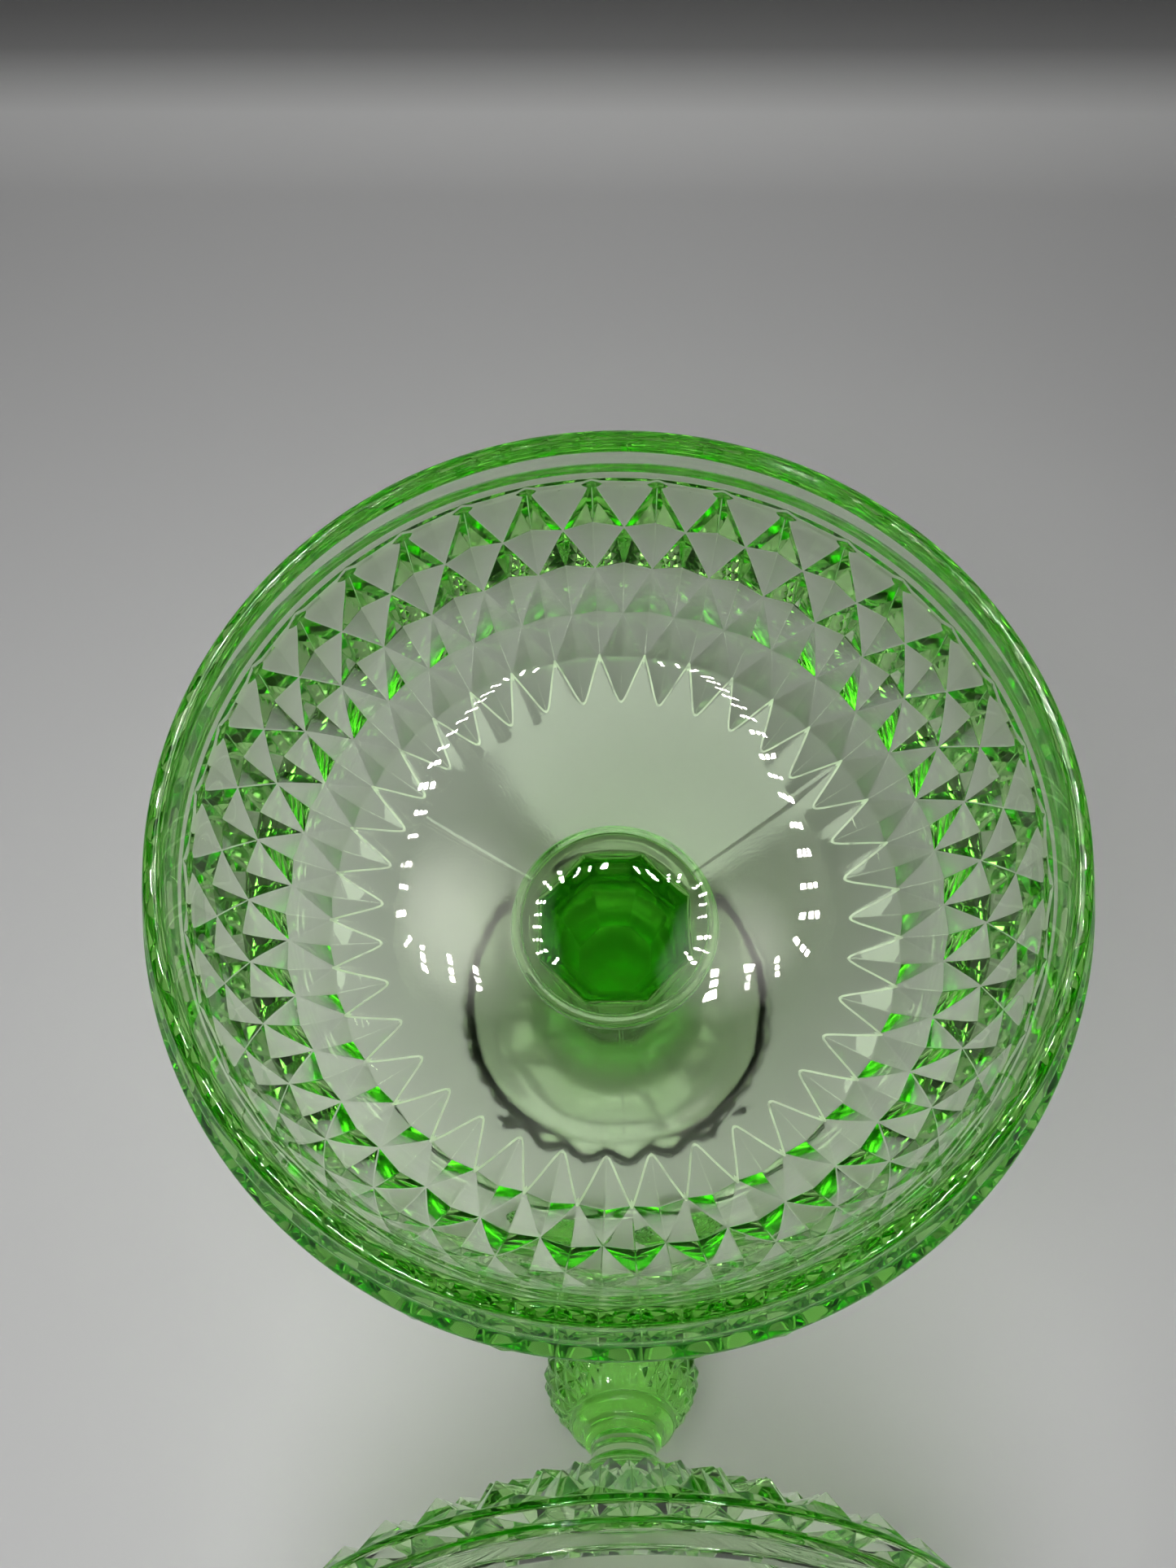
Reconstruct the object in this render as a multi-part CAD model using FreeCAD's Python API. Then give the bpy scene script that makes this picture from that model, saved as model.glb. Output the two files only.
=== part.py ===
import FreeCAD, Part
import math
import os

# Covered footed dish in pressed green glass, in millimetres, +Z up.
# The origin is the centre of the circle that the foot stands on.
# The bowl stands open. Its lid lies in front of it (towards -Y), tipped over so that it rests on
# the edge of its rim and on its finial, with the hollow side facing forwards and up.

# ---- driving dimensions: the dish ----
DISH_HEIGHT = 184.0
LIP_RADIUS = 80.0
LIP_THICKNESS = 3.2
LIP_DEPTH = 3.4
LIP_BEND = (80.5, 4.7)
LIP_ROUND = 1.45
PATTERN_TOP_DEPTH = 16.4
PLAIN_BAND_DEPTH = 12.3
LEDGE_WIDTH = 0.6
COLLAR_RADIUS = 24.6
COLLAR_TOP = 108.2
COLLAR_HEIGHT = 7.4
COLLAR_BULGE = (23.4, 0.9)
COLLAR_STRAIGHT = (2.4, 6.2)
COLLAR_CHAMFER = 1.4
STEM_SIDES = 8
STEM_TURN = 22.5
STEM_TOP_RADIUS = 20.0
FOOT_RADIUS = 50.0
FOOT_EDGE_HEIGHT = 4.2
FOOT_TOP = 26.0
SCALLOP_DEPTH = 1.1
FOOT_HOLLOW_RADIUS = 44.0
FOOT_HOLLOW_BEND = (24.0, 3.9)
FOOT_HOLLOW_HEIGHT = 5.2

# Outside of the bowl above the pattern, from the shoulder up to the lip: (radius, depth below the rim).
SHOULDER = [(85.4, 16.4), (85.4, 14.2), (83.0, 11.6), (82.4, 10.6), (82.2, 6.2), (81.6, 5.4)]

# Corners of the eight-sided stem and of the flare of the foot: (radius, height), from low to high.
STEM_RINGS = [(14.1, 26.0), (12.1, 33.0), (11.5, 42.0), (12.2, 56.0), (13.9, 72.0), (16.1, 86.0),
              (19.1, 97.0), (19.8, 100.8)]
FLARE_RINGS = [(46.6, 3.6), (45.0, 5.1), (36.0, 7.6), (26.0, 12.0), (18.5, 18.0), (14.1, 26.0)]

# ---- driving dimensions: the diamond-point pattern ----
PER_ROW = 36
PITCH = 360.0 / PER_ROW
HALF_PITCH = PITCH / 2
BOWL_PHASE = 2.1
LID_PHASE = -88.7
BOWL_FIRST_TIP = (86.3, 20.0)
LID_FIRST_TIP = (80.0, 3.8)

# Rings of pattern corners on the outside of the bowl: (radius, depth below the rim, point height).
# A row's pyramids stand on its own ring, and reach the ring above and the ring below.
BOWL_RINGS = [
    (85.0, 16.4, 4.0),
    (82.0, 31.0, 4.8),
    (78.8, 43.6, 5.2),
    (72.2, 54.8, 2.8),
    (63.6, 62.4, 2.0),
]
BOWL_SPIKE_END = (53.0, 67.4)
BOWL_SMOOTH_RINGS = [(44.5, 70.4), (34.5, 73.2), (26.5, 75.1), (22.6, 75.8)]

# Inside of the bowl below the ledge: (radius, depth below the rim), a smooth curve.
BOWL_INSIDE = [(76.1, 13.0), (76.0, 22.0), (75.2, 31.0), (72.8, 41.4), (67.2, 51.2), (60.0, 57.6),
               (50.6, 62.4), (40.0, 66.0), (28.0, 68.7), (14.0, 70.5), (0.0, 71.0)]

# ---- driving dimensions: the lid, in its own frame (seat plane at 0, finial along +Z) ----
LID_RADIUS = 81.5
LID_BAND = 1.8
FLANGE_RADIUS = 76.2
FLANGE_THICKNESS = 2.9
FLANGE_HEIGHT = 5.0
FLANGE_CHAMFER = 0.8
LID_RINGS = [
    (81.0, 1.8, 3.2),
    (72.6, 5.6, 5.0),
    (63.4, 11.4, 4.8),
    (53.0, 18.4, 4.4),
    (42.6, 26.4, 3.0),
]
LID_SPIKE_END = (33.6, 33.6)
LID_SMOOTH_RINGS = [(26.0, 38.6), (18.0, 43.6), (11.5, 48.6)]
LID_INSIDE = [(73.2, -1.0), (70.5, 1.0), (61.5, 6.4), (51.5, 13.4), (41.0, 21.4), (31.5, 29.2),
              (23.0, 35.0), (14.0, 39.4), (6.0, 41.6), (0.0, 42.0)]

# Outline of the finial's neck and step rings: (radius, height above the seat), as rounded steps.
NECK_FOOT = [(11.5, 48.6), (9.0, 50.5), (8.3, 53.6)]
NECK_TOP = (8.3, 56.6)
FIRST_STEP = [(8.3, 56.6), (10.4, 57.4), (10.9, 59.2)]
SECOND_STEP = [(11.9, 59.8), (13.7, 60.8), (14.1, 62.8)]
STEP_TOP = (12.0, 63.6)

# Rings of small points on the finial's bud: (radius, height above the seat, point height).
BUD_PER_ROW = 24
BUD_RINGS = [
    (14.4, 63.2, 0.8),
    (16.9, 66.4, 1.0),
    (18.9, 70.0, 1.0),
    (20.3, 73.8, 1.0),
    (19.8, 77.6, 1.0),
    (17.6, 81.1, 0.9),
    (14.8, 84.3, 0.8),
    (11.0, 87.2, 0.6),
    (6.6, 89.4, 0.5),
    (3.0, 90.6, 0.3),
]

# ---- how the lid lies ----
LID_TILT = 38.5
LID_YAW = 1.0
LID_X = 0.3
LID_Y = -161.7
LID_REST_HEIGHT = 64.95

CLOSE = 0.01
Z_AXIS = FreeCAD.Vector(0, 0, 1)
X_AXIS = FreeCAD.Vector(1, 0, 0)


def at(radius, angle, z):
    """A point given by its radius and angle about the Z axis."""
    turn = math.radians(angle)
    return FreeCAD.Vector(radius * math.cos(turn), radius * math.sin(turn), z)


def face(*corners):
    """A flat face through the given corners."""
    return Part.Face(Part.makePolygon(list(corners) + [corners[0]]))


def solid_of(faces):
    """A closed solid from flat faces that share their edges."""
    shell = Part.makeShell(faces)
    shell.sewShape()
    solid = Part.makeSolid(shell)
    if solid.Volume < 0:
        solid.reverse()
    return solid


def turned(edges):
    """A solid of revolution from a closed outline in the XZ plane."""
    outline = Part.Face(Part.Wire(edges))
    return outline.revolve(FreeCAD.Vector(0, 0, 0), Z_AXIS, 360)


def line(a, b):
    """A straight edge in the XZ plane between two (radius, z) points."""
    return Part.makeLine(FreeCAD.Vector(a[0], 0, a[1]), FreeCAD.Vector(b[0], 0, b[1]))


def arc(a, middle, b):
    """A round edge in the XZ plane through three (radius, z) points."""
    points = [FreeCAD.Vector(r, 0, z) for r, z in (a, middle, b)]
    return Part.Arc(*points).toShape()


def curve(points):
    """A smooth edge in the XZ plane through (radius, z) points."""
    spline = Part.BSplineCurve()
    spline.interpolate([FreeCAD.Vector(r, 0, z) for r, z in points])
    return spline.toShape()


def angles(phase, row, per_row=PER_ROW):
    """The angles of one row of pattern corners; every second row is turned by half a pitch."""
    pitch = 360.0 / per_row
    shift = phase + (pitch / 2 if row % 2 else 0.0)
    return [shift + pitch * i for i in range(per_row)]


def pyramid_tip(rings, row, angle, outward):
    """The tip of the pyramid that stands on one ring, raised square to the wall there."""
    radius, z, height = rings[row]
    above = rings[max(row - 1, 0)]
    below = rings[min(row + 1, len(rings) - 1)]
    along = math.hypot(above[0] - below[0], above[1] - below[1])
    out_r = abs(above[1] - below[1]) / along
    out_z = outward * abs(above[0] - below[0]) / along
    return at(radius + height * out_r, angle, z + height * out_z)


def diamond_wall(rings, first_tip, spike_end, smooth_rings, phase, outward):
    """Faces of a wall of diamond points: a row of half pyramids, rows of full pyramids, a row
    drawn out into spikes, and a plain wall below the spikes. All heights are z values."""
    faces = []
    last = len(rings) - 1
    for a in angles(phase + HALF_PITCH, 0):
        left = at(rings[0][0], a - HALF_PITCH, rings[0][1])
        right = at(rings[0][0], a + HALF_PITCH, rings[0][1])
        low = at(rings[1][0], a, rings[1][1])
        tip = at(first_tip[0], a, first_tip[1])
        faces += [face(left, tip, right), face(left, low, tip), face(low, right, tip)]
    for row in range(1, last + 1):
        for a in angles(phase + HALF_PITCH, row):
            top = at(rings[row - 1][0], a, rings[row - 1][1])
            left = at(rings[row][0], a - HALF_PITCH, rings[row][1])
            right = at(rings[row][0], a + HALF_PITCH, rings[row][1])
            low_ring = rings[row + 1] if row < last else spike_end
            low = at(low_ring[0], a, low_ring[1])
            tip = pyramid_tip(rings, row, a, outward)
            faces += [face(top, left, tip), face(left, low, tip)]
            faces += [face(low, right, tip), face(right, top, tip)]
    first = smooth_rings[0]
    for a in angles(phase, last):
        corner = at(rings[last][0], a, rings[last][1])
        ahead = at(spike_end[0], a + HALF_PITCH, spike_end[1])
        behind = at(spike_end[0], a - HALF_PITCH, spike_end[1])
        here = at(first[0], a, first[1])
        following = at(first[0], a + PITCH, first[1])
        faces += [face(corner, here, ahead), face(corner, behind, here), face(ahead, here, following)]
    for upper, lower in zip(smooth_rings[:-1], smooth_rings[1:]):
        for a in angles(phase, last):
            faces.append(face(at(upper[0], a, upper[1]), at(lower[0], a, lower[1]),
                              at(lower[0], a + PITCH, lower[1]), at(upper[0], a + PITCH, upper[1])))
    end = smooth_rings[-1]
    faces.append(face(*[at(rings[0][0], a, rings[0][1]) for a in angles(phase, 0)]))
    faces.append(face(*[at(end[0], a, end[1]) for a in angles(phase, last)]))
    return faces


def prism_rings(rings, sides, phase):
    """A solid with flat sides through many-sided rings given as (radius, z), bottom to top."""
    step = 360.0 / sides
    turns = [phase + step * i for i in range(sides)]
    faces = []
    for low, high in zip(rings[:-1], rings[1:]):
        for a in turns:
            faces.append(face(at(low[0], a, low[1]), at(low[0], a + step, low[1]),
                              at(high[0], a + step, high[1]), at(high[0], a, high[1])))
    for radius, z in (rings[0], rings[-1]):
        faces.append(face(*[at(radius, a, z) for a in turns]))
    return solid_of(faces)


def pointed_bud(rings, per_row):
    """A closed body covered with small four-sided points between staggered rings of corners."""
    faces = []
    half = 180.0 / per_row
    last = len(rings) - 1
    for row, (radius, z, height) in enumerate(rings):
        for a in angles(half, row, per_row):
            left = at(radius, a - half, z)
            right = at(radius, a + half, z)
            tip = at(radius + height, a, z)
            if row < last:
                above = at(rings[row + 1][0], a, rings[row + 1][1])
                faces += [face(left, tip, above), face(tip, right, above)]
            else:
                faces.append(face(left, right, tip))
            if row > 0:
                below = at(rings[row - 1][0], a, rings[row - 1][1])
                faces += [face(left, below, tip), face(below, right, tip)]
            else:
                faces.append(face(left, right, tip))
    for row in (0, last):
        faces.append(face(*[at(rings[row][0], a, rings[row][1]) for a in angles(0.0, row, per_row)]))
    return solid_of(faces)


def bowl():
    """The bowl: a raised lip, a sloping shoulder, and a wall of diamond points."""
    top = DISH_HEIGHT
    rings = [(r, top - depth, height) for r, depth, height in BOWL_RINGS]
    smooth = [(r, top - depth) for r, depth in BOWL_SMOOTH_RINGS]
    first_tip = (BOWL_FIRST_TIP[0], top - BOWL_FIRST_TIP[1])
    spike_end = (BOWL_SPIKE_END[0], top - BOWL_SPIKE_END[1])
    wall = solid_of(diamond_wall(rings, first_tip, spike_end, smooth, BOWL_PHASE, -1))

    shoulder = [(r, top - depth) for r, depth in SHOULDER]
    lip_low = (LIP_RADIUS, top - LIP_DEPTH)
    lip_top = (LIP_RADIUS, top)
    lip_bend = (LIP_BEND[0], top - LIP_BEND[1])
    pattern_top = (0, top - PATTERN_TOP_DEPTH)
    rim = turned(
        [line(pattern_top, shoulder[0])]
        + [line(a, b) for a, b in zip(shoulder[:-1], shoulder[1:])]
        + [arc(shoulder[-1], lip_bend, lip_low), line(lip_low, lip_top)]
        + [line(lip_top, (0, top)), line((0, top), pattern_top)]
    )

    inside = [(r, top - depth) for r, depth in BOWL_INSIDE]
    band_radius = LIP_RADIUS - LIP_THICKNESS
    ledge = (inside[0][0] + LEDGE_WIDTH, top - PLAIN_BAND_DEPTH)
    band_top = (band_radius, top - LIP_THICKNESS)
    above = top + LIP_THICKNESS
    hollow = turned([
        curve(inside[::-1]),
        line(inside[0], ledge),
        line(ledge, band_top),
        line(band_top, (band_radius, above)),
        line((band_radius, above), (0, above)),
        line((0, above), inside[-1]),
    ])
    body = wall.fuse(rim).cut(hollow)
    crest = [e for e in body.Edges if min(v.Z for v in e.Vertexes) > top - CLOSE]
    return body.makeFillet(LIP_ROUND, crest)


def stem_collar():
    """The round collar between the bowl and the stem, with a rounded edge."""
    low = COLLAR_TOP - COLLAR_HEIGHT
    bulge = (COLLAR_BULGE[0], low + COLLAR_BULGE[1])
    edge_low = (COLLAR_RADIUS, low + COLLAR_STRAIGHT[0])
    edge_high = (COLLAR_RADIUS, low + COLLAR_STRAIGHT[1])
    top_edge = (COLLAR_RADIUS - COLLAR_CHAMFER, COLLAR_TOP)
    return turned([
        line((0, low), (STEM_TOP_RADIUS, low)),
        arc((STEM_TOP_RADIUS, low), bulge, edge_low),
        line(edge_low, edge_high),
        line(edge_high, top_edge),
        line(top_edge, (0, COLLAR_TOP)),
        line((0, COLLAR_TOP), (0, low)),
    ])


def stem():
    """The eight-sided stem: narrow above the foot and widening up to the collar."""
    return prism_rings(STEM_RINGS, STEM_SIDES, STEM_TURN)


def foot():
    """The foot: an eight-panelled flare on a round plate with a scalloped edge, hollow below."""
    flare = prism_rings(FLARE_RINGS, STEM_SIDES, STEM_TURN)
    edge = []
    for a in angles(BOWL_PHASE, 0):
        start = at(FOOT_RADIUS - SCALLOP_DEPTH, a, 0)
        middle = at(FOOT_RADIUS, a + HALF_PITCH, 0)
        end = at(FOOT_RADIUS - SCALLOP_DEPTH, a + PITCH, 0)
        edge.append(Part.Arc(start, middle, end).toShape())
    plate = Part.Face(Part.Wire(edge)).extrude(FreeCAD.Vector(0, 0, FOOT_EDGE_HEIGHT))
    hollow = turned([
        line((0, 0), (FOOT_HOLLOW_RADIUS, 0)),
        arc((FOOT_HOLLOW_RADIUS, 0), FOOT_HOLLOW_BEND, (0, FOOT_HOLLOW_HEIGHT)),
        line((0, FOOT_HOLLOW_HEIGHT), (0, 0)),
    ])
    return flare.fuse(plate).cut(hollow)


def lid():
    """The lid: a domed wall of diamond points, a flat seat and a flange that drops into the bowl."""
    faces = diamond_wall(LID_RINGS, LID_FIRST_TIP, LID_SPIKE_END, LID_SMOOTH_RINGS, LID_PHASE, 1)
    wall = solid_of(faces)
    low = -FLANGE_HEIGHT
    rim = turned([
        line((0, low), (FLANGE_RADIUS - FLANGE_CHAMFER, low)),
        line((FLANGE_RADIUS - FLANGE_CHAMFER, low), (FLANGE_RADIUS, low + FLANGE_CHAMFER)),
        line((FLANGE_RADIUS, low + FLANGE_CHAMFER), (FLANGE_RADIUS, 0)),
        line((FLANGE_RADIUS, 0), (LID_RADIUS, 0)),
        line((LID_RADIUS, 0), (LID_RADIUS, LID_BAND)),
        line((LID_RADIUS, LID_BAND), (0, LID_BAND)),
        line((0, LID_BAND), (0, low)),
    ])
    inner = FLANGE_RADIUS - FLANGE_THICKNESS
    below = low - FLANGE_THICKNESS
    hollow = turned([
        curve(LID_INSIDE),
        line(LID_INSIDE[-1], (0, below)),
        line((0, below), (inner + FLANGE_CHAMFER, below)),
        line((inner + FLANGE_CHAMFER, below), (inner + FLANGE_CHAMFER, low)),
        line((inner + FLANGE_CHAMFER, low), (inner, low + FLANGE_CHAMFER)),
        line((inner, low + FLANGE_CHAMFER), LID_INSIDE[0]),
    ])
    return wall.fuse(rim).cut(hollow)


def finial():
    """The finial: a neck, two step rings, and a bud with rows of small points."""
    neck = turned([
        line((0, NECK_FOOT[0][1]), NECK_FOOT[0]),
        arc(*NECK_FOOT),
        line(NECK_FOOT[-1], NECK_TOP),
        arc(*FIRST_STEP),
        line(FIRST_STEP[-1], SECOND_STEP[0]),
        arc(*SECOND_STEP),
        line(SECOND_STEP[-1], STEP_TOP),
        line(STEP_TOP, (0, STEP_TOP[1])),
        line((0, STEP_TOP[1]), (0, NECK_FOOT[0][1])),
    ])
    return neck.fuse(pointed_bud(BUD_RINGS, BUD_PER_ROW))


def lay_down(shape):
    """Moves a shape from the lid's own frame to where the lid lies in front of the dish."""
    tip_over = FreeCAD.Rotation(X_AXIS, -90.0 - LID_TILT)
    yaw = FreeCAD.Rotation(Z_AXIS, LID_YAW)
    place = FreeCAD.Vector(LID_X, LID_Y, LID_REST_HEIGHT)
    moved = shape.copy()
    moved.Placement = FreeCAD.Placement(place, yaw.multiply(tip_over))
    return moved


def main():
    os.makedirs("parts", exist_ok=True)
    parts = {
        "bowl": bowl(),
        "stem_collar": stem_collar(),
        "stem": stem(),
        "foot": foot(),
        "lid": lay_down(lid()),
        "finial": lay_down(finial()),
    }
    for name, shape in parts.items():
        box = shape.optimalBoundingBox(False)
        print(f"{name:12s} valid {shape.isValid()} solids {len(shape.Solids)} faces {len(shape.Faces)}"
              f" volume {shape.Volume / 1000:8.1f} cm3"
              f" x {box.XMin:7.1f} {box.XMax:7.1f} y {box.YMin:7.1f} {box.YMax:7.1f}"
              f" z {box.ZMin:7.2f} {box.ZMax:7.1f}")
        shape.exportStep(f"parts/{name}.step")


main()
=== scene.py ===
import math

import bmesh
import bpy
import numpy as np
from mathutils import Matrix, Vector


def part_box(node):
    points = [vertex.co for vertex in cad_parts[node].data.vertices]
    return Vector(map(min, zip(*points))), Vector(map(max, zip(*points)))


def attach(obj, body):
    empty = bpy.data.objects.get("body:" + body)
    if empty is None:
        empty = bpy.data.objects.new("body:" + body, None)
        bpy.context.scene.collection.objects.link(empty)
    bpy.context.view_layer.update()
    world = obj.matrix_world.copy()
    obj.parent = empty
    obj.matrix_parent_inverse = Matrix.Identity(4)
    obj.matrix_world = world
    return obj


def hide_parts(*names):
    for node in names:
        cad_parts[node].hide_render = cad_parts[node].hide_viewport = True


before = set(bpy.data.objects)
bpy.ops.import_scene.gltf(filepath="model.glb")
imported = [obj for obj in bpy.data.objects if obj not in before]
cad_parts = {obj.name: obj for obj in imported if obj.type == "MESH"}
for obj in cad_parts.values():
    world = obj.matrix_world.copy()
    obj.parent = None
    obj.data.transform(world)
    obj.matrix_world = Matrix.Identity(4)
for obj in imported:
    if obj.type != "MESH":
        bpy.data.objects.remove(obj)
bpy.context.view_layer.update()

# Lengths in this script are in millimetres until a mesh is finished, as in the CAD source.
MM = 0.001
DISH_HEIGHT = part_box("bowl")[1].z / MM

# ---- pattern and grid ----
PER_ROW = 36
PITCH = 360.0 / PER_ROW
SEG = 12
GRID = PER_ROW * SEG
HALF = SEG // 2
BOWL_PHASE = 2.1
LID_PHASE = -88.7
SEAM_COLUMNS = [HALF * 6, HALF * 6 + GRID // 3, HALF * 6 + 2 * GRID // 3]
STEM_TURN = 22.5

# ---- dish ----
# Outlines of the bowl are (radius, depth below the rim), and its rings add the height of their points.
LIP_RADIUS = 80.0
LIP_INSIDE = LIP_RADIUS - 3.2
LIP_DEPTH = 3.4
LIP_ROUND = 1.45
CREST = [(LIP_INSIDE, LIP_DEPTH), (LIP_INSIDE, 0.0), (LIP_RADIUS, 0.0), (LIP_RADIUS, LIP_DEPTH),
         (81.6, 5.4), (82.2, 6.2), (82.4, 10.6), (83.0, 11.6), (85.4, 14.2), (85.4, 15.6), (85.0, 16.4)]
LEDGE = [(LIP_INSIDE, LIP_DEPTH), (76.7, 12.3), (76.1, 12.9)]
BOWL_RINGS = [
    (85.0, 16.4, 4.0),
    (82.0, 31.0, 4.8),
    (78.8, 43.6, 5.2),
    (72.2, 54.8, 2.8),
    (63.6, 62.4, 2.0),
]
BOWL_FIRST_TIP = (86.3, 20.0)
BOWL_SPIKE_END = (53.0, 67.4)
BOWL_SMOOTH = [BOWL_RINGS[-1][:2], BOWL_SPIKE_END, (44.5, 70.4), (36.0, 72.8), (29.0, 74.5), (24.2, 75.6),
               (22.2, 75.9)]
BOWL_INSIDE = [(76.1, 13.0), (76.0, 22.0), (75.2, 31.0), (72.8, 41.4), (67.2, 51.2), (60.0, 57.6),
               (50.6, 62.4), (40.0, 66.0), (28.0, 68.7), (14.0, 70.5), (0.0, 71.0)]
SEAM_HEIGHT = 0.16
COLLAR = [(21.8, 76.1), (22.6, 76.0), (23.6, 76.2), (24.3, 76.9), (24.6, 77.9), (24.6, 79.4), (24.3, 81.2),
          (23.4, 82.4), (21.8, 83.1), (20.3, 83.4)]
STEM_RINGS = [(19.6, 83.8), (19.1, 87.0), (16.1, 98.0), (13.9, 112.0), (12.2, 128.0), (11.5, 142.0),
              (12.1, 151.0), (14.1, 158.0)]

# The foot's outlines are (radius, height). Its flare goes from eight sides to round before the edge.
FLARE_RINGS = [(14.1, 26.0), (18.5, 18.0), (26.0, 12.0), (36.0, 7.6), (45.0, 5.1)]
FOOT_RADIUS = 50.0
FOOT_EDGE_HEIGHT = 4.2
FLARE_ROUND_FROM = FOOT_RADIUS - 3.0
FLARE_BLEND = 6.0
FOOT_OUTLINE = [(46.6, FOOT_EDGE_HEIGHT), (FOOT_RADIUS - 0.1, FOOT_EDGE_HEIGHT), (FOOT_RADIUS, 0.0),
                (44.0, 0.0), (38.0, 1.4), (24.0, 3.9), (10.0, 5.0), (3.0, 5.2)]
SCALLOP_DEPTH = 1.1
SCALLOP_FROM = 46.0
SCALLOP_BLEND = 2.5

# ---- lid: outlines are (radius, height above the seat) ----
LID_RADIUS = 81.5
FLANGE = [(73.3, -2.0), (73.4, -5.0), (76.2, -5.0), (76.2, 0.0), (LID_RADIUS, 0.0), (LID_RADIUS, 1.5),
          (81.0, 1.8)]
LID_RINGS = [
    (81.0, 1.8, 3.2),
    (72.6, 5.6, 5.0),
    (63.4, 11.4, 4.8),
    (53.0, 18.4, 4.4),
    (42.6, 26.4, 3.0),
]
LID_FIRST_TIP = (80.0, 3.8)
LID_SPIKE_END = (33.6, 33.6)
LID_SMOOTH = [LID_RINGS[-1][:2], LID_SPIKE_END, (26.0, 38.6), (18.0, 43.6), (13.2, 47.2), (11.4, 48.9)]
LID_INSIDE = [(73.2, -1.0), (70.5, 1.0), (61.5, 6.4), (51.5, 13.4), (41.0, 21.4), (31.5, 29.2),
              (23.0, 35.0), (14.0, 39.4), (6.0, 41.6), (0.0, 42.0)]
LID_TILT = 38.5
LID_YAW = 1.0
LID_PLACE = (0.3, -161.7, 64.95)
NECK = [(11.4, 48.9), (9.3, 50.3), (8.4, 52.6), (8.3, 56.4), (10.3, 57.3), (10.9, 59.2), (11.9, 59.7),
        (13.6, 60.8), (14.1, 62.6), (13.6, 63.0), (14.2, 63.3)]
BUD_PER_ROW = 24
BUD_ROW_STEP = 3.7
BUD_START = 63.2
BUD_POINT_HEIGHT = 1.0
BUD_FADE_RADIUS = 14.0
BUD = [(14.4, 63.4), (16.9, 66.4), (18.9, 70.0), (20.2, 73.8), (19.7, 77.6), (17.5, 81.1), (14.7, 84.3),
       (11.0, 87.1), (6.6, 89.2), (3.0, 90.2), (1.2, 90.4)]

# ---- edges of the pattern: a weight is a multiple of the bevel's width ----
ROUND_END = 0.3
BEVEL_WIDTH = 0.24
ZIGZAG_WEIGHT = 2.0
WIDEST_WEIGHT = 2.0
ON_LINE_SHARE = 0.95
CLEAR_OF_SPIKES = 0.8

# ---- glass ----
GLASS_IOR = 1.52
RIDGE_ROUGH = 0.12
MOULDED_ROUGH = 0.07
FACET_ROUGH = 0.02
FROSTED_ROUGH = 0.35
# Share of the frosted strip turned white in dashes: a painted glint standing in for lamp glints on the rough
# glass.
PAINTED_GLINT_WHITE = 0.9
SMEAR_ROUGH = 0.012
SMEAR_SCALE = 26.0
BEAD_SCALE = 900.0
SWELL_SCALE = 45.0
SWELL_HEIGHT = 0.00012
SKIN_SCALE = 1500.0
SKIN_HEIGHT = 0.00001
GLASS_COLOUR = (0.37, 0.84, 0.03, 1)
GLASS_DENSITY = 34.0
# Painted glow: the glass gives off a faint green light of its own, with no lamp, which lifts its dark facets.
PAINTED_GLOW_COLOUR = (0.08, 1.0, 0.0, 1)
PAINTED_GLOW_STRENGTH = 0.1

# ---- floor, in metres ----
FLOOR_FRONT = -2.5
FLOOR_END = 0.37
FLOOR_HALF_WIDTH = 3.0
FLOOR_TURN = -3.0
BEND = 0.05
WALL_HEIGHT = 0.9
SHADE_HEIGHT = 0.09
# Grey levels up the sweep by height: the slight rise in the bend is a painted highlight; above the bend the
# board is darker.
SHADES = [(0.0, 0.53), (0.06, 0.54), (0.16, 0.56), (0.4, 0.22), (0.6, 0.16)]
GRAIN_SCALE = 1.7

# ---- lamps and lights, in metres ----
LAMP_HEIGHT = 0.6
LAMP_GLOW = 260.0
LAMP_COLOUR = (1.0, 0.97, 0.92, 1)
SMALL_LAMP = 0.0011
SMALL_GAP = 0.0034
SMALL_FRAME = dict(middle=-0.005, half_width=0.055, front=0.105, back=0.175, corner=0.020,
                   front_gap=0.008, back_gap=0.035, step=0.011)
WIDE_LAMP = 0.0034
WIDE_GAP = 0.0105
WIDE_FRAME = dict(middle=0.02, half_width=0.20, front=-0.31, back=0.20, corner=0.05,
                  front_gap=0.12, back_gap=0.06, step=0.033)
SOFT_GLOW = 4.0
SOFT_LAMPS = [("soft_right", (0.13, 0.15), 0.11), ("soft_left", (-0.09, 0.18), 0.075)]
PANEL_PLACE = (-0.10, -0.20, 0.75)
PANEL_SIZE = 0.6
PANEL_POWER = 5.7
# The panel's share of its strength on rays that went straight through glass, and on other rays through glass.
PANEL_SHOWN = 0.12
PANEL_THROUGH = 0.28

# ---- camera ----
SENSOR = 36.0
LENS = 1340.0 / 1927.0 * SENSOR
CAMERA_PLACE = (0.0, -0.06784, 0.35606)
CAMERA_LOOK = (-0.02167, 0.38438, -0.92292)
CAMERA_UP = (0.02079, 0.92311, 0.38397)

# Kinds of surface, carried by the material index while a mesh is made.
POLISHED, RIDGE, MOULDED, FACET, FROSTED = KINDS = range(5)


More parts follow.
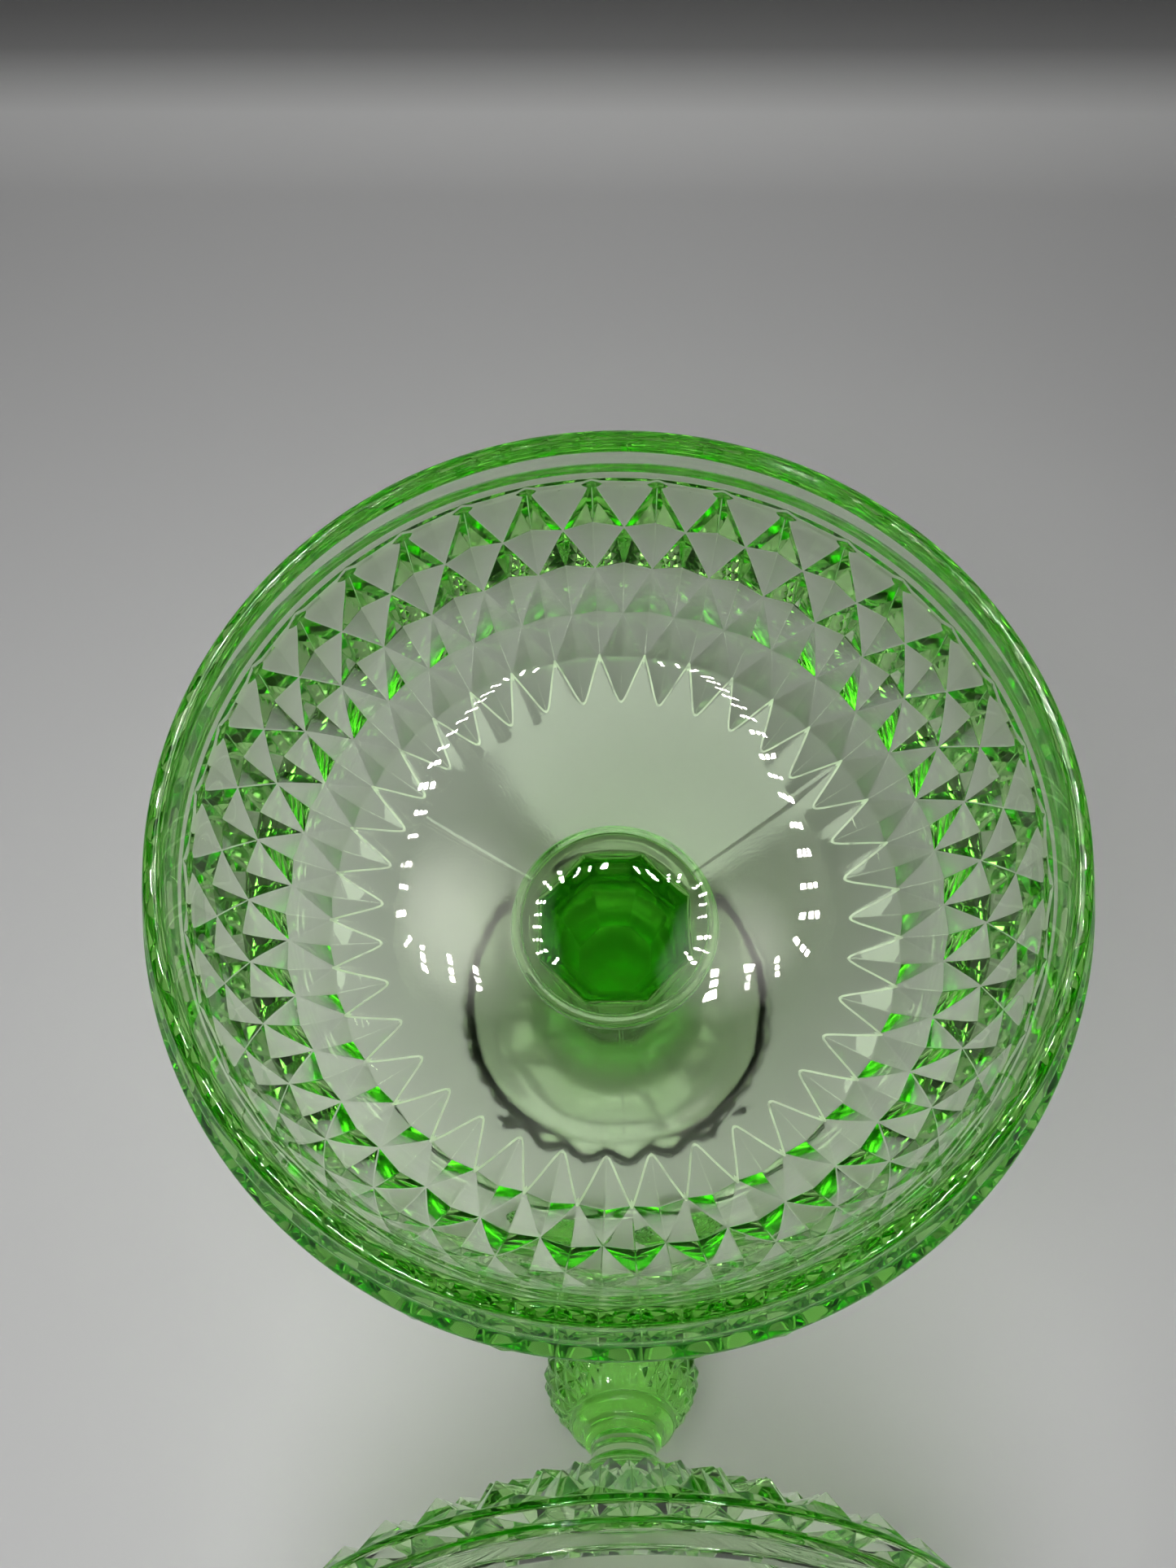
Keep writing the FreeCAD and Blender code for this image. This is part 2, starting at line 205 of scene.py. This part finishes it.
def spline(points, count):
    """Points along a smooth curve through the given (radius, height) points, evenly spread."""
    pts = np.array(points, float)
    ext = np.vstack([2 * pts[0] - pts[1], pts, 2 * pts[-1] - pts[-2]])
    knots = np.concatenate([[0], np.cumsum(np.sqrt(np.linalg.norm(np.diff(ext, axis=0), axis=1)))])
    dense = []
    for i in range(1, len(ext) - 2):
        p0, p1, p2, p3 = ext[i - 1:i + 3]
        t0, t1, t2, t3 = knots[i - 1:i + 3]
        for t in np.linspace(t1, t2, 24, endpoint=False):
            a1 = (t1 - t) / (t1 - t0) * p0 + (t - t0) / (t1 - t0) * p1
            a2 = (t2 - t) / (t2 - t1) * p1 + (t - t1) / (t2 - t1) * p2
            a3 = (t3 - t) / (t3 - t2) * p2 + (t - t2) / (t3 - t2) * p3
            b1 = (t2 - t) / (t2 - t0) * a1 + (t - t0) / (t2 - t0) * a2
            b2 = (t3 - t) / (t3 - t1) * a2 + (t - t1) / (t3 - t1) * a3
            dense.append((t2 - t) / (t2 - t1) * b1 + (t - t1) / (t2 - t1) * b2)
    dense.append(pts[-1])
    dense = np.array(dense)
    length = np.concatenate([[0], np.cumsum(np.linalg.norm(np.diff(dense, axis=0), axis=1))])
    want = np.linspace(0, length[-1], count)
    radii, heights = np.interp(want, length, dense[:, 0]), np.interp(want, length, dense[:, 1])
    return list(zip(radii.tolist(), heights.tolist()))


def rounded(points, radius, steps=5):
    """A (radius, height) outline with its inner corners rounded off."""
    out = [points[0]]
    for before, here, after in zip(points[:-2], points[1:-1], points[2:]):
        p, a, b = np.array(here, float), np.array(before, float), np.array(after, float)
        la, lb = np.linalg.norm(a - p), np.linalg.norm(b - p)
        cut = min(radius, 0.45 * la, 0.45 * lb)
        start, end = p + (a - p) / la * cut, p + (b - p) / lb * cut
        for t in np.linspace(0, 1, steps):
            q = (1 - t) ** 2 * start + 2 * t * (1 - t) * p + t ** 2 * end
            out.append((float(q[0]), float(q[1])))
    out.append(points[-1])
    return out


class Shell:
    """A closed surface built up from rings on a fixed number of columns."""

    def __init__(self, phase):
        self.columns = np.radians(phase + 360.0 / GRID * np.arange(GRID))
        self.phase = phase
        self.verts = []
        self.faces = []
        self.kinds = []
        self.kind = POLISHED
        self.sharp = {}
        self.line_edges = set()

    def add(self, face):
        self.faces.append(face)
        self.kinds.append(self.kind)

    def point(self, radius, degrees, z):
        turn = math.radians(degrees)
        self.verts.append((radius * math.cos(turn), radius * math.sin(turn), z))
        return len(self.verts) - 1

    def ring(self, radius, z):
        r = np.broadcast_to(radius, (GRID,))
        zs = np.broadcast_to(z, (GRID,))
        start = len(self.verts)
        x, y = r * np.cos(self.columns), r * np.sin(self.columns)
        self.verts += zip(x.tolist(), y.tolist(), zs.tolist())
        return list(range(start, start + GRID))

    def bridge(self, a, b):
        for i in range(GRID):
            j = (i + 1) % GRID
            self.add((a[i], a[j], b[j], b[i]))

    def rings(self, last, outline):
        """Rings along an outline, joined to the last one, whose radii and heights may vary by column."""
        for radius, z in outline:
            new = self.ring(radius, z)
            if last is not None:
                self.bridge(last, new)
            last = new
        return last

    def close(self, ring, z):
        centre = self.point(0, 0, z)
        for i in range(GRID):
            self.add((ring[i], ring[(i + 1) % GRID], centre))

    def crease(self, a, b, weight):
        self.sharp[(min(a, b), max(a, b))] = weight

    def facet(self, corners, weight=1.0):
        self.add(tuple(corners))
        for a, b in zip(corners, corners[1:] + corners[:1]):
            if (min(a, b), max(a, b)) not in self.sharp:
                self.crease(a, b, weight)


def tip_of(rings, row, outward):
    """Radius and height of the tip of a full pyramid that stands on one ring."""
    radius, z, height = rings[row]
    above, below = rings[row - 1], rings[min(row + 1, len(rings) - 1)]
    along = math.hypot(above[0] - below[0], above[1] - below[1])
    out_r = abs(above[1] - below[1]) / along
    out_z = outward * abs(above[0] - below[0]) / along
    return radius + height * out_r, z + height * out_z


def diamond_wall(shell, top_ring, rings, first_tip, spike_end, smooth, outward):
    """Adds the wall of points below top_ring and returns the zigzag line of vertices that ends it."""
    shell.kind = FACET
    last = len(rings) - 1
    nodes = [[top_ring[SEG * i] for i in range(PER_ROW)]]
    for row in range(1, last + 1):
        shift = PITCH / 2 if row % 2 else 0.0
        nodes.append([shell.point(rings[row][0], shell.phase + shift + PITCH * i, rings[row][1])
                      for i in range(PER_ROW)])

    def corner(row, half_steps):
        """The vertex of a ring at an angle given in half pitches."""
        return nodes[row][((half_steps - row % 2) // 2) % PER_ROW]

    for i in range(PER_ROW):
        tip = shell.point(first_tip[0], shell.phase + PITCH * (i + 0.5), first_tip[1])
        arc = [top_ring[(SEG * i + k) % GRID] for k in range(SEG + 1)]
        left, right, low = arc[0], arc[-1], corner(1, 2 * i + 1)
        shell.facet([left, low, tip])
        shell.facet([low, right, tip])
        for a, b in zip(arc[:-1], arc[1:]):
            shell.crease(a, b, 0.0)
        shell.facet(arc + [tip])

    # The line that ends the last row, drawn on the smooth wall: straight flanks and round ends.
    dense = np.array(spline(smooth, 200))
    dense = dense[np.argsort(dense[:, 0])]
    top_r, low_r = rings[last][0], spike_end[0]
    zigzag = []
    for j in range(GRID):
        k = j % SEG
        if k == 0:
            zigzag.append(nodes[last][j // SEG])
            continue
        away = abs(k - HALF) / HALF
        bend = math.hypot(ROUND_END, away) - ROUND_END
        share = bend / (math.hypot(ROUND_END, 1.0) - ROUND_END)
        radius = low_r + (top_r - low_r) * share
        height = float(np.interp(radius, dense[:, 0], dense[:, 1]))
        zigzag.append(shell.point(radius, shell.phase + 360.0 / GRID * j, height))
    for a, b in zip(zigzag, zigzag[1:] + zigzag[:1]):
        shell.crease(a, b, ZIGZAG_WEIGHT)
        shell.line_edges.add((min(a, b), max(a, b)))

    for row in range(1, last + 1):
        radius, z = tip_of(rings, row, outward)
        for i in range(PER_ROW):
            centre = 2 * i + 1 + row % 2
            degrees = shell.phase + PITCH / 2 * centre
            tip = shell.point(radius, degrees, z)
            top, left, right = corner(row - 1, centre), corner(row, centre - 1), corner(row, centre + 1)
            shell.facet([top, left, tip])
            shell.facet([right, top, tip])
            if row < last:
                low = corner(row + 1, centre)
                shell.facet([left, low, tip])
                shell.facet([low, right, tip])
            else:
                line = [zigzag[(HALF * (centre - 1) + k) % GRID] for k in range(SEG + 1)]
                shell.facet(line[:HALF + 1] + [tip])
                shell.facet(line[HALF:] + [tip])
    shell.kind = MOULDED
    return zigzag


def seam_bump(height):
    """Extra radius of a ring where the mould's three seams cross it."""
    extra = np.zeros(GRID)
    for c in SEAM_COLUMNS:
        extra[c % GRID] = height
    return extra


def many_sided(radius, flatness, sides=8):
    """Ring radii of a regular polygon with its corners at radius, mixed with a circle by flatness."""
    columns = BOWL_PHASE + 360.0 / GRID * np.arange(GRID)
    step = 360.0 / sides
    off_middle = np.radians((columns - STEM_TURN) % step - step / 2)
    flat = radius * math.cos(math.radians(step / 2)) / np.cos(off_middle)
    return radius * (1 - flatness) + flat * flatness


def finish_shell(shell, glass, name, matrix, body, nodes):
    """Makes the shell a Blender object with rounded pattern edges, in metres, on its body."""
    mesh = bpy.data.meshes.new(name)
    mesh.from_pydata([Vector(v) for v in shell.verts], [], shell.faces)
    mesh.update()
    keys = {tuple(sorted(e.vertices)): e.index for e in mesh.edges}
    weights = np.zeros(len(mesh.edges), np.float32)
    for key, w in shell.sharp.items():
        if key in keys:
            weights[keys[key]] = w
    weights /= WIDEST_WEIGHT
    mesh.attributes.new("bevel_weight_edge", "FLOAT", "EDGE").data.foreach_set("value", weights)
    on_line = np.zeros(len(mesh.vertices), bool)
    for a, b in shell.line_edges:
        on_line[[a, b]] = True
    mesh.attributes.new("on_line", "FLOAT", "POINT").data.foreach_set("value", on_line.astype(np.float32))
    for _ in KINDS:
        mesh.materials.append(None)
    mesh.polygons.foreach_set("material_index", np.array(shell.kinds, np.int32))
    bm = bmesh.new()
    bm.from_mesh(mesh)
    bmesh.ops.recalc_face_normals(bm, faces=bm.faces)
    bm.to_mesh(mesh)
    bm.free()
    rough_obj = bpy.data.objects.new(name + "_draft", mesh)
    bpy.context.scene.collection.objects.link(rough_obj)
    bevel = rough_obj.modifiers.new("round", "BEVEL")
    bevel.limit_method = "WEIGHT"
    bevel.width = BEVEL_WIDTH * WIDEST_WEIGHT
    bevel.segments = 2
    bevel.use_clamp_overlap = False
    bevel.loop_slide = False
    bevel.material = RIDGE
    bpy.context.view_layer.update()
    graph = bpy.context.evaluated_depsgraph_get()
    final = bpy.data.meshes.new_from_object(rough_obj.evaluated_get(graph), depsgraph=graph)
    bpy.data.objects.remove(rough_obj)
    final.name = name
    kinds = np.zeros(len(final.polygons), np.int32)
    final.polygons.foreach_get("material_index", kinds)
    near_line = np.zeros(len(final.vertices), np.float32)
    final.attributes["on_line"].data.foreach_get("value", near_line)
    corners = np.zeros(len(final.loops), np.int32)
    final.loops.foreach_get("vertex_index", corners)
    counts = np.zeros(len(final.polygons), np.int32)
    final.polygons.foreach_get("loop_total", counts)
    owner = np.repeat(np.arange(len(counts)), counts)
    share = np.bincount(owner, near_line[corners]) / counts
    kinds[(kinds == RIDGE) & (share > ON_LINE_SHARE)] = FROSTED
    for kind, attribute in ((RIDGE, "ridge"), (MOULDED, "moulded"), (FACET, "facet"), (FROSTED, "frosted")):
        values = (kinds == kind).astype(np.float32)
        final.attributes.new(attribute, "FLOAT", "FACE").data.foreach_set("value", values)
    final.polygons.foreach_set("material_index", np.zeros(len(final.polygons), np.int32))
    final.materials.clear()
    final.materials.append(glass)
    final.polygons.foreach_set("use_smooth", np.ones(len(final.polygons), bool))
    final.transform(matrix)
    final.update()
    obj = bpy.data.objects.new(name, final)
    bpy.context.scene.collection.objects.link(obj)
    weighted = obj.modifiers.new("normals", "WEIGHTED_NORMAL")
    weighted.mode = "FACE_AREA"
    weighted.weight = 100
    weighted.keep_sharp = False
    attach(obj, body)
    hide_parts(*nodes)


def below_rim(points):
    """(radius, depth below the rim) as (radius, height)."""
    return [(r, DISH_HEIGHT - depth) for r, depth in points]


def make_dish(glass):
    shell = Shell(BOWL_PHASE)
    last = shell.rings(None, rounded(below_rim(CREST), LIP_ROUND, 7))
    lip_ring = list(range(GRID))

    wall_rings = [(r, DISH_HEIGHT - depth, height) for r, depth, height in BOWL_RINGS]
    first_tip, spike_end = below_rim([BOWL_FIRST_TIP, BOWL_SPIKE_END])
    smooth = below_rim(BOWL_SMOOTH)
    last = diamond_wall(shell, last, wall_rings, first_tip, spike_end, smooth, -1)
    seam = seam_bump(SEAM_HEIGHT)
    last = shell.rings(last, [(radius + seam * 0.4, z - seam * 0.9) for radius, z in spline(smooth, 40)
                              if radius < BOWL_SPIKE_END[0] - CLEAR_OF_SPIKES])
    last = shell.rings(last, rounded(below_rim(COLLAR), 0.6, 3))
    stem = spline(below_rim(STEM_RINGS), 30)
    last = shell.rings(last, [(many_sided(radius, 1.0), z) for radius, z in stem])
    for radius, z in spline(FLARE_RINGS, 24)[1:]:
        flatness = min(1.0, (FLARE_ROUND_FROM - radius) / FLARE_BLEND)
        last = shell.rings(last, [(many_sided(radius, max(flatness, 0.0)), z)])
    lobe = SCALLOP_DEPTH * (1 - np.sin(np.pi * (np.arange(GRID) % SEG) / SEG))
    for radius, z in rounded(FOOT_OUTLINE, 1.0, 5):
        share = np.clip((radius - SCALLOP_FROM) / SCALLOP_BLEND, 0, 1)
        last = shell.rings(last, [(radius - lobe * share, z)])
    shell.close(last, FOOT_OUTLINE[-1][1])

    shell.kind = POLISHED
    inside = below_rim(BOWL_INSIDE)
    ledge = rounded(below_rim(LEDGE) + [inside[1]], 0.5, 3)
    last = shell.rings(lip_ring, ledge[1:-1])
    last = shell.rings(last, spline([ledge[-2]] + inside[1:], 90)[1:-1])
    shell.close(last, inside[-1][1])
    finish_shell(shell, glass, "dish", Matrix.Scale(MM, 4), "dish",
                 ["bowl", "stem_collar", "stem", "foot"])


def bud_points(z, height):
    """Extra radius from small four-sided points in staggered rows."""
    turn = np.degrees(np.arange(GRID) * 2 * math.pi / GRID) / (360.0 / BUD_PER_ROW)
    rows = (z - BUD_START) / BUD_ROW_STEP
    best = np.zeros(GRID)
    for parity in (0, 1):
        u = 2 * abs((turn + parity / 2 + 0.5) % 1 - 0.5)
        v = abs((rows + parity + 1) % 2 - 1)
        best = np.maximum(best, 1 - u - v)
    return height * best


def make_lid(glass):
    shell = Shell(LID_PHASE)
    last = shell.rings(None, rounded(FLANGE, 0.8, 5))
    flange_ring = list(range(GRID))
    last = diamond_wall(shell, last, LID_RINGS, LID_FIRST_TIP, LID_SPIKE_END, LID_SMOOTH, 1)
    last = shell.rings(last, [(radius, z) for radius, z in spline(LID_SMOOTH, 36)
                              if radius < LID_SPIKE_END[0] - CLEAR_OF_SPIKES])
    last = shell.rings(last, rounded(NECK, 0.6, 4)[1:])
    for radius, z in spline(BUD, 120):
        fade = min(1.0, radius / BUD_FADE_RADIUS)
        last = shell.rings(last, [(radius + bud_points(z, BUD_POINT_HEIGHT) * fade, z)])
    shell.close(last, BUD[-1][1] + 0.1)

    shell.kind = POLISHED
    last = shell.rings(flange_ring, [(73.2, -1.4)])
    last = shell.rings(last, spline(LID_INSIDE, 90)[:-1])
    shell.close(last, LID_INSIDE[-1][1])
    place = (Matrix.Translation(Vector(LID_PLACE)) @ Matrix.Rotation(math.radians(LID_YAW), 4, "Z")
             @ Matrix.Rotation(math.radians(-90.0 - LID_TILT), 4, "X"))
    finish_shell(shell, glass, "lid_glass_piece", Matrix.Scale(MM, 4) @ place, "lid_piece",
                 ["lid", "finial"])


def chain(tree, kind, inputs, output=0, **values):
    """A node with its inputs set to numbers or linked to sockets, as its output socket."""
    made = tree.nodes.new(kind)
    for key, value in values.items():
        setattr(made, key, value)
    for key, value in inputs.items():
        if isinstance(value, bpy.types.NodeSocket):
            tree.links.new(value, made.inputs[key])
        else:
            made.inputs[key].default_value = value
    return made.outputs[output]


def face_mask(tree, name):
    return chain(tree, "ShaderNodeAttribute", {}, "Fac", attribute_name=name)


def sums(tree, *pairs):
    """The sum of several (socket, factor) pairs."""
    total = None
    for socket, factor in pairs:
        total = chain(tree, "ShaderNodeMath", {0: socket, 1: factor, 2: total if total is not None else 0.0},
                      operation="MULTIPLY_ADD")
    return total


def glass_material():
    """Clear green pressed glass: deep green where light travels far in it, nearly clear where it is thin."""
    mat = bpy.data.materials.new("green_pressed_glass")
    mat.use_nodes = True
    tree = mat.node_tree
    shader = tree.nodes["Principled BSDF"]
    shader.inputs["Base Color"].default_value = (1, 1, 1, 1)
    shader.inputs["IOR"].default_value = GLASS_IOR
    where = chain(tree, "ShaderNodeTexCoord", {}, "Object")
    ridge, moulded = face_mask(tree, "ridge"), face_mask(tree, "moulded")
    facet, frosted = face_mask(tree, "facet"), face_mask(tree, "frosted")

    smear = chain(tree, "ShaderNodeTexNoise", {"Vector": where, "Scale": SMEAR_SCALE, "Detail": 3.0}, "Fac")
    smear = chain(tree, "ShaderNodeMapRange", {"Value": smear, "From Min": 0.56, "From Max": 0.72})
    rough = sums(tree, (ridge, RIDGE_ROUGH), (moulded, MOULDED_ROUGH), (facet, FACET_ROUGH),
                 (frosted, FROSTED_ROUGH), (smear, SMEAR_ROUGH))
    tree.links.new(rough, shader.inputs["Roughness"])

    # On the frosted zigzag strip, dashes lose transmission and show the white base colour: a painted glint in
    # place of lamp glints; the strip's roughness is real frosting.
    beads = chain(tree, "ShaderNodeTexNoise", {"Vector": where, "Scale": BEAD_SCALE, "Detail": 1.0}, "Fac")
    beads = chain(tree, "ShaderNodeMapRange", {"Value": beads, "From Min": 0.3, "From Max": 0.5})
    painted_glints = chain(tree, "ShaderNodeMath", {0: frosted, 1: beads}, operation="MULTIPLY")
    clear = chain(tree, "ShaderNodeMath", {0: painted_glints, 1: -PAINTED_GLINT_WHITE, 2: 1.0}, operation="MULTIPLY_ADD")
    tree.links.new(clear, shader.inputs["Transmission Weight"])

    swell = chain(tree, "ShaderNodeTexNoise", {"Vector": where, "Scale": SWELL_SCALE, "Detail": 2.0}, "Fac")
    skin = chain(tree, "ShaderNodeTexNoise", {"Vector": where, "Scale": SKIN_SCALE, "Detail": 2.0}, "Fac")
    skin = chain(tree, "ShaderNodeMath", {0: skin, 1: moulded}, operation="MULTIPLY")
    bump = chain(tree, "ShaderNodeBump", {"Height": swell, "Strength": 1.0, "Distance": SWELL_HEIGHT})
    bump = chain(tree, "ShaderNodeBump", {"Height": skin, "Strength": 1.0, "Distance": SKIN_HEIGHT,
                                          "Normal": bump})
    tree.links.new(bump, shader.inputs["Normal"])

    volume = tree.nodes.new("ShaderNodeVolumeAbsorption")
    volume.inputs["Color"].default_value = GLASS_COLOUR
    volume.inputs["Density"].default_value = GLASS_DENSITY
    # Painted glow: a faint green emission all through the glass, lit by no lamp, added to the absorption.
    glow = tree.nodes.new("ShaderNodeEmission")
    glow.inputs["Color"].default_value = PAINTED_GLOW_COLOUR
    glow.inputs["Strength"].default_value = PAINTED_GLOW_STRENGTH
    both = tree.nodes.new("ShaderNodeAddShader")
    tree.links.new(volume.outputs["Volume"], both.inputs[0])
    tree.links.new(glow.outputs["Emission"], both.inputs[1])
    tree.links.new(both.outputs["Shader"], tree.nodes["Material Output"].inputs["Volume"])
    return mat


def floor_material():
    """Pale matt board, a little lighter in the bend as a painted highlight, and darker above the bend."""
    mat = bpy.data.materials.new("pale_floor")
    mat.use_nodes = True
    tree = mat.node_tree
    shader = tree.nodes["Principled BSDF"]
    where = chain(tree, "ShaderNodeTexCoord", {}, "Object")
    height = chain(tree, "ShaderNodeSeparateXYZ", {"Vector": where}, "Z")
    grain = chain(tree, "ShaderNodeTexNoise", {"Vector": where, "Scale": GRAIN_SCALE, "Detail": 3.0}, "Fac")
    height = chain(tree, "ShaderNodeMapRange", {"Value": height, "From Max": SHADE_HEIGHT})
    # Grey by height: a painted highlight along the bend, darker above the bend.
    ramp = tree.nodes.new("ShaderNodeValToRGB")
    tree.links.new(height, ramp.inputs["Fac"])
    for k, (position, shade) in enumerate(SHADES):
        stop = ramp.color_ramp.elements[k] if k < 2 else ramp.color_ramp.elements.new(position)
        stop.position = position
        stop.color = (shade, shade, shade, 1)
    mix = chain(tree, "ShaderNodeMix", {0: grain, 6: (0.97, 0.97, 0.97, 1), 7: (1.0, 1.0, 1.0, 1)}, 2,
                data_type="RGBA")
    colour = chain(tree, "ShaderNodeMix", {0: 1.0, 6: ramp.outputs["Color"], 7: mix}, 2, data_type="RGBA",
                   blend_type="MULTIPLY")
    tree.links.new(colour, shader.inputs["Base Color"])
    shader.inputs["Roughness"].default_value = 0.6
    shader.inputs["Specular IOR Level"].default_value = 0.2
    return mat


def make_floor():
    """A floor that sweeps up into a wall behind the object."""
    outline = [(FLOOR_FRONT, 0.0), (FLOOR_END, 0.0)]
    for t in np.linspace(0, math.pi / 2, 17)[1:]:
        outline.append((FLOOR_END + BEND * math.sin(t), BEND * (1 - math.cos(t))))
    outline.append((FLOOR_END + BEND, WALL_HEIGHT))
    verts = [Vector((x, y, z)) for y, z in outline for x in (-FLOOR_HALF_WIDTH, FLOOR_HALF_WIDTH)]
    faces = [(2 * i, 2 * i + 1, 2 * i + 3, 2 * i + 2) for i in range(len(outline) - 1)]
    mesh = bpy.data.meshes.new("floor")
    mesh.from_pydata(verts, [], faces)
    mesh.polygons.foreach_set("use_smooth", np.ones(len(faces), bool))
    mesh.materials.append(floor_material())
    obj = bpy.data.objects.new("floor", mesh)
    obj.rotation_euler.z = math.radians(FLOOR_TURN)
    bpy.context.scene.collection.objects.link(obj)


def lamp_frame(middle, half_width, front, back, corner, front_gap, back_gap, step):
    """Points and outward directions along a rounded frame, open in the middle of its front and back."""
    bend = corner * math.pi / 2
    arm = back - front - 2 * corner
    front_bar = half_width - corner - front_gap
    back_bar = half_width - corner - back_gap
    places = []
    for side in (-1, 1):
        for k in range(int((front_bar + arm + back_bar + 2 * bend) / step) + 1):
            run = k * step
            turn = min(max(run - front_bar, 0.0), bend) + min(max(run - front_bar - bend - arm, 0.0), bend)
            angle = turn / corner
            along = min(max(run - front_bar - bend, 0.0), arm)
            returned = max(run - front_bar - arm - 2 * bend, 0.0)
            x = front_gap + min(run, front_bar) + corner * math.sin(angle) - returned
            y = front + corner * (1.0 - math.cos(angle)) + along
            outward = Vector((side * math.sin(angle), -math.cos(angle)))
            places.append((Vector((middle + side * x, y)), outward))
    return places


def lamp_dots(name, places, size, strength, fades=False):
    """Square lamps that face down, seen only in and through glass; a lamp may fade out from its middle."""
    verts, faces = [], []
    for p, d in places:
        side = Vector((-d.y, d.x))
        start = len(verts)
        for a, b in ((-1, -1), (1, -1), (1, 1), (-1, 1)):
            q = p + d * (a * size) + side * (b * size)
            verts.append(Vector((q.x, q.y, LAMP_HEIGHT)))
        faces.append((start, start + 3, start + 2, start + 1))
    mesh = bpy.data.meshes.new(name)
    mesh.from_pydata(verts, [], faces)
    mat = bpy.data.materials.new(name)
    mat.use_nodes = True
    tree = mat.node_tree
    glow = chain(tree, "ShaderNodeEmission", {"Color": LAMP_COLOUR, "Strength": strength})
    if fades:
        across = chain(tree, "ShaderNodeTexCoord", {}, "Generated")
        flat = chain(tree, "ShaderNodeVectorMath", {0: across, 1: (1, 1, 0)}, operation="MULTIPLY")
        off = chain(tree, "ShaderNodeVectorMath", {0: flat, 1: (0.5, 0.5, 0)}, "Value", operation="DISTANCE")
        level = chain(tree, "ShaderNodeMapRange", {"Value": off, "From Min": 0.1, "From Max": 0.46,
                                                   "To Min": strength, "To Max": 0.0})
        tree.links.new(level, glow.node.inputs["Strength"])
    tree.links.new(glow, tree.nodes["Material Output"].inputs["Surface"])
    mesh.materials.append(mat)
    obj = bpy.data.objects.new(name, mesh)
    obj.visible_camera = False
    obj.visible_diffuse = False
    obj.visible_shadow = False
    bpy.context.scene.collection.objects.link(obj)


def triples(places, gap):
    """Each place as three, side by side across the line."""
    return [(p + d * k * gap, d) for p, d in places for k in (-1, 0, 1)]


def make_lamps():
    """A small frame of lamps behind the dish's axis, a wide frame all round it, and two soft lamps."""
    lamp_dots("small_lamps", triples(lamp_frame(**SMALL_FRAME), SMALL_GAP), SMALL_LAMP, LAMP_GLOW)
    lamp_dots("wide_lamps", triples(lamp_frame(**WIDE_FRAME), WIDE_GAP), WIDE_LAMP, LAMP_GLOW)
    for name, place, size in SOFT_LAMPS:
        lamp_dots(name, [(Vector(place), Vector((1.0, 0.0)))], size, SOFT_GLOW, True)


def make_lights():
    """A dim room, and a panel that is weaker where it is met through glass."""
    world = bpy.data.worlds.new("room")
    bpy.context.scene.world = world
    world.use_nodes = True
    tree = world.node_tree
    back = tree.nodes["Background"]
    where = chain(tree, "ShaderNodeTexCoord", {}, "Generated")
    height = chain(tree, "ShaderNodeSeparateXYZ", {"Vector": where}, "Z")
    shade = chain(tree, "ShaderNodeMapRange", {"Value": height, "From Min": 0.0, "From Max": 0.7,
                                               "To Min": 0.08, "To Max": 0.05})
    tree.links.new(shade, back.inputs["Strength"])
    data = bpy.data.lights.new("panel", "AREA")
    data.shape = "DISK"
    data.size = PANEL_SIZE
    data.energy = PANEL_POWER
    data.use_nodes = True
    lamp = data.node_tree
    rays = lamp.nodes.new("ShaderNodeLightPath")
    direct = chain(lamp, "ShaderNodeMath", {0: rays.outputs["Diffuse Depth"], 1: 0.5}, operation="LESS_THAN")
    dimmer = chain(lamp, "ShaderNodeMath",
                   {0: direct, 1: PANEL_SHOWN - PANEL_THROUGH, 2: PANEL_THROUGH - 1.0},
                   operation="MULTIPLY_ADD")
    shown = chain(lamp, "ShaderNodeMath", {0: rays.outputs["Is Transmission Ray"], 1: dimmer, 2: 1.0},
                  operation="MULTIPLY_ADD")
    lamp.links.new(shown, lamp.nodes["Emission"].inputs["Strength"])
    panel = bpy.data.objects.new("panel", data)
    panel.location = PANEL_PLACE
    panel.visible_camera = False
    panel.visible_glossy = False
    bpy.context.scene.collection.objects.link(panel)


def make_camera():
    data = bpy.data.cameras.new("camera")
    data.sensor_fit = "AUTO"
    data.sensor_width = SENSOR
    data.lens = LENS
    data.clip_start = 0.01
    cam = bpy.data.objects.new("camera", data)
    look = Vector(CAMERA_LOOK).normalized()
    up = Vector(CAMERA_UP).normalized()
    right = look.cross(up)
    up = right.cross(look)
    cam.matrix_world = Matrix((
        (right.x, up.x, -look.x, CAMERA_PLACE[0]),
        (right.y, up.y, -look.y, CAMERA_PLACE[1]),
        (right.z, up.z, -look.z, CAMERA_PLACE[2]),
        (0, 0, 0, 1)))
    bpy.context.scene.collection.objects.link(cam)
    bpy.context.scene.camera = cam


pressed_glass = glass_material()
make_dish(pressed_glass)
make_lid(pressed_glass)
make_floor()
make_lamps()
make_lights()
make_camera()
bpy.context.scene.view_settings.view_transform = "Standard"
cycles = bpy.context.scene.cycles
cycles.max_bounces = 24
cycles.transmission_bounces = 24
cycles.glossy_bounces = 12
cycles.diffuse_bounces = 3
cycles.transparent_max_bounces = 12
